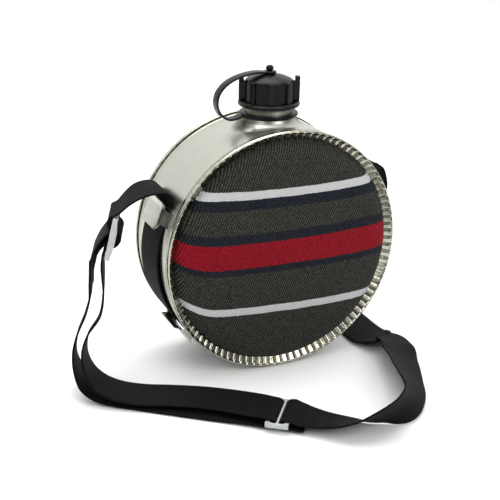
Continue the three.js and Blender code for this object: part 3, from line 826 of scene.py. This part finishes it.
def make_tether():
    ring = [
        (17.1, 188.6), (17.1, 190.6), (21.3, 190.6, 0.5),
        (21.6, 189.9, 0.3), (21.6, 189.2, 0.3), (21.2, 188.6, 0.5),
    ]
    shape = lathe(rounded(ring, 0.2), on_neck, 128)
    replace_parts(make_piece("tether_neck_ring", *shape, "black_plastic", "tether"), "tether_ring")
    eye = [(2.0, 218.6), (4.7, 218.6), (5, 219), (5, 219.8), (4.6, 220.2), (2.0, 220.2)]
    shape = lathe(rounded(eye, 0.25), on_neck, 64)
    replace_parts(make_piece("tether_eye", *shape, "black_plastic", "eyelet"), "tether_eyelet")
    stations = strap_stations([(*p, 0, -1, 0) for p in TETHER], 6)
    flat = rounded([(-4, -0.75), (4, -0.75), (4, 0.75), (-4, 0.75)], 0.35)
    section = [(a * MM, b * MM) for a, b in flat]
    points, faces, uv = sweep(stations, section)
    piece = make_piece("tether_strip", points, faces, "black_plastic", None, uv=uv)
    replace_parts(piece, "tether_strap")
    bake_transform(piece)


# ---------------------------------------------------------------- brackets and body webbing

BRACKETS = {"left_upper": 159.7, "left_lower": 221, "right_lower": 319, "right_upper": 20.3}


def make_bracket(label, angle):
    """Bent strip over the webbing: flared lips at both mouths, feet flat on the band."""
    half = [(0, 95.2), (7, 95.2), (13.2, 95.2, 0.9), (15.0, 94.6, 0.9), (20.2, 91.9, 0.9), (24.6, 91.5)]
    side = [tuple(p) for p in rounded(half, 0.9, 4, closed=False)]
    line = [(-y, r) for y, r in reversed(side[1:])] + side
    points, faces = [], []
    steps = 16
    for y, r in line:
        plate = max(0, min(1, (15.4 - abs(y)) / 1.2))
        reach = 5.6 + 4.4 * plate
        for k in range(steps + 1):
            along = reach * (2 * k / steps - 1)
            lip = max(0, abs(along) - 6.0)
            a = math.radians(angle) + along / 95.2
            points.append(on_drum(r + 0.75 * lip * lip / (lip + 0.8) * plate, y, a))
    row = steps + 1
    for i in range(len(line) - 1):
        for k in range(steps):
            a = i * row + k
            faces.append([a, a + 1, a + row + 1, a + row])
    piece = make_piece(f"bracket_{label}_strip", points, faces, "steel_satin", sharp=50)
    thicken(piece, 0.0009)
    bevel(piece, 0.0002, 2)
    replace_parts(piece, f"bracket_{label}")


def make_body_webbing():
    def slack(angle, start):
        return math.sin(math.radians((angle - start) * 4)) if start < angle < start + 45 else 0

    stations = []
    first, end, count = 156.2, 383.8, 190
    for i in range(count + 1):
        angle = first + i * (end - first) / count
        r = 91.7 + 1.6 * (slack(angle, 168) + slack(angle, 327))
        a = math.radians(angle)
        n = Vector((math.cos(a), 0, math.sin(a)))
        stations.append((on_drum(r, 0, a), Vector((0, 1, 0)), n))
    points, faces, uv = sweep(stations, web_section(BODY_WEB))
    piece = make_piece("drum_webbing", points, faces, "webbing", uv=uv)
    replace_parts(piece, "body_webbing")


make_drum()
make_faces()
make_neck()
make_cap()
make_tether()
for place, degrees in BRACKETS.items():
    make_bracket(place, degrees)
make_body_webbing()

# ---------------------------------------------------------------- floor and light


def make_floor():
    mesh = bpy.data.meshes.new("floor")
    reach = 6
    corners = [(-reach, -reach, 0), (reach, -reach, 0), (reach, reach, 0), (-reach, reach, 0)]
    mesh.from_pydata(corners, [], [(0, 1, 2, 3)])
    mesh.materials.append(pale_floor())
    floor = bpy.data.objects.new("floor", mesh)
    bpy.context.scene.collection.objects.link(floor)


def make_world():
    """Studio surround: bright behind and above the object, dim behind the camera."""
    world = bpy.data.worlds.new("studio")
    bpy.context.scene.world = world
    world.use_nodes = True
    tree = world.node_tree
    at = tree.nodes.new("ShaderNodeTexCoord")
    parts = tree.nodes.new("ShaderNodeSeparateXYZ")
    tree.links.new(at.outputs["Generated"], parts.inputs[0])

    def ramp(place, low, high, start, end):
        made = tree.nodes.new("ShaderNodeMapRange")
        made.interpolation_type = "SMOOTHSTEP"
        tree.links.new(place, made.inputs[0])
        for slot, value in zip(list(made.inputs)[1:5], (low, high, start, end)):
            slot.default_value = value
        return made.outputs[0]

    total = tree.nodes.new("ShaderNodeMath")
    total.operation = "ADD"
    tree.links.new(ramp(parts.outputs["Y"], -0.45, 0.5, 0.12, 0.95), total.inputs[0])
    tree.links.new(ramp(parts.outputs["Z"], 0.45, 0.95, 0.0, 0.45), total.inputs[1])
    tree.links.new(total.outputs[0], tree.nodes["Background"].inputs["Color"])
    tree.nodes["Background"].inputs["Strength"].default_value = 1.2


def make_lamp(name, place, aim, size, power, tint=(1, 1, 1)):
    data = bpy.data.lights.new(name, "AREA")
    data.shape = "DISK"
    data.size = size
    data.energy = power
    data.color = tint
    lamp = bpy.data.objects.new(name, data)
    lamp.location = place
    lamp.rotation_mode = "QUATERNION"
    lamp.rotation_quaternion = (Vector(aim) - Vector(place)).to_track_quat("-Z", "Y")
    bpy.context.scene.collection.objects.link(lamp)


make_floor()
make_world()
make_lamp("overhead", (0.0, 0.35, 1.9), (0, 0, 0), 1.8, 24)
make_lamp("front_box", (0.55, -1.5, 1.25), (0, 0, 0.08), 1.2, 16)
make_lamp("key_left", (-1.4, -0.7, 1.2), (0, 0, 0.08), 1.0, 6.5)
bpy.context.scene.view_settings.view_transform = "Standard"
